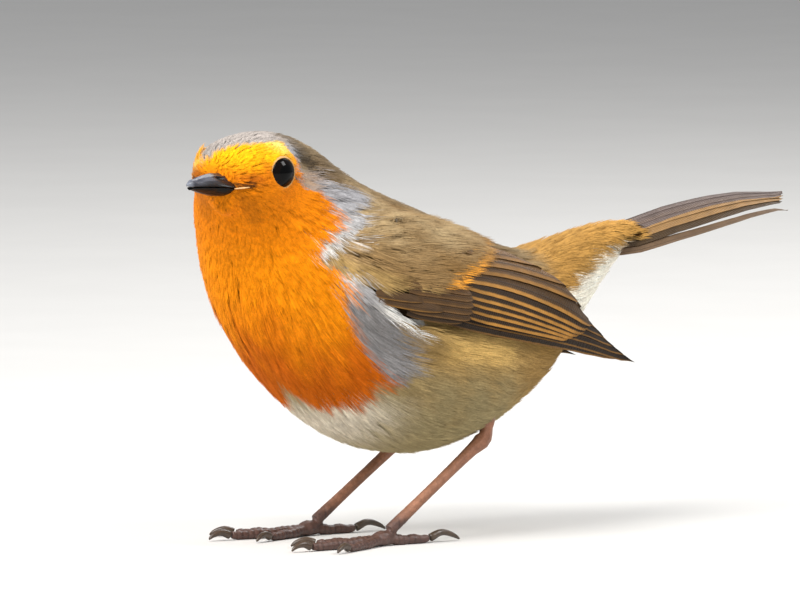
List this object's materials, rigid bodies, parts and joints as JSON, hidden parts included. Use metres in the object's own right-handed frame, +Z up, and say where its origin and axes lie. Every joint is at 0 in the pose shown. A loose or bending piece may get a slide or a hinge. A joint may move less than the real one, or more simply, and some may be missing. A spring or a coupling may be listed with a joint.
{
  "type": "robin figure",
  "caption": "Life-size standing robin with folded wings, a cocked tail and its head turned to its left, on flat-soled feet.",
  "frame": {"origin": "on the floor, under the middle of the whole bird's box", "axes": "+X runs from the bill towards the tail, +Y towards the bird's right side, +Z up"},
  "size_m": [0.1266, 0.0436, 0.0686],
  "materials": {
    "plumage": "soft body feathers, orange in front, olive above and pale below",
    "wing_feathers": "matte olive-brown wing coverts with buff tips",
    "flight_feathers": "silky dark brown flight and tail feathers with ochre edges",
    "bill": "polished black horn",
    "eye": "wet black",
    "leg_skin": "satin pinkish-brown scutes",
    "toe_skin": "satin dark brown scaly skin",
    "claw": "polished dark horn"
  },
  "bodies": {
    "root": {"head": "plumage", "neck": "plumage", "trunk": "plumage", "rump": "plumage", "tail": "flight_feathers", "wing_left_coverts": "wing_feathers", "wing_right_coverts": "wing_feathers", "wing_left_secondaries": "flight_feathers", "wing_right_secondaries": "flight_feathers", "wing_left_primaries": "flight_feathers", "wing_right_primaries": "flight_feathers", "bill_upper": "bill", "bill_lower": "bill", "eye_left": "eye", "eye_right": "eye", "leg_left": "leg_skin", "leg_right": "leg_skin", "foot_left": "toe_skin", "foot_right": "toe_skin", "claw_left_inner": "claw", "claw_left_middle": "claw", "claw_left_outer": "claw", "claw_left_hind": "claw", "claw_right_inner": "claw", "claw_right_middle": "claw", "claw_right_outer": "claw", "claw_right_hind": "claw"}
  },
  "joints": []
}
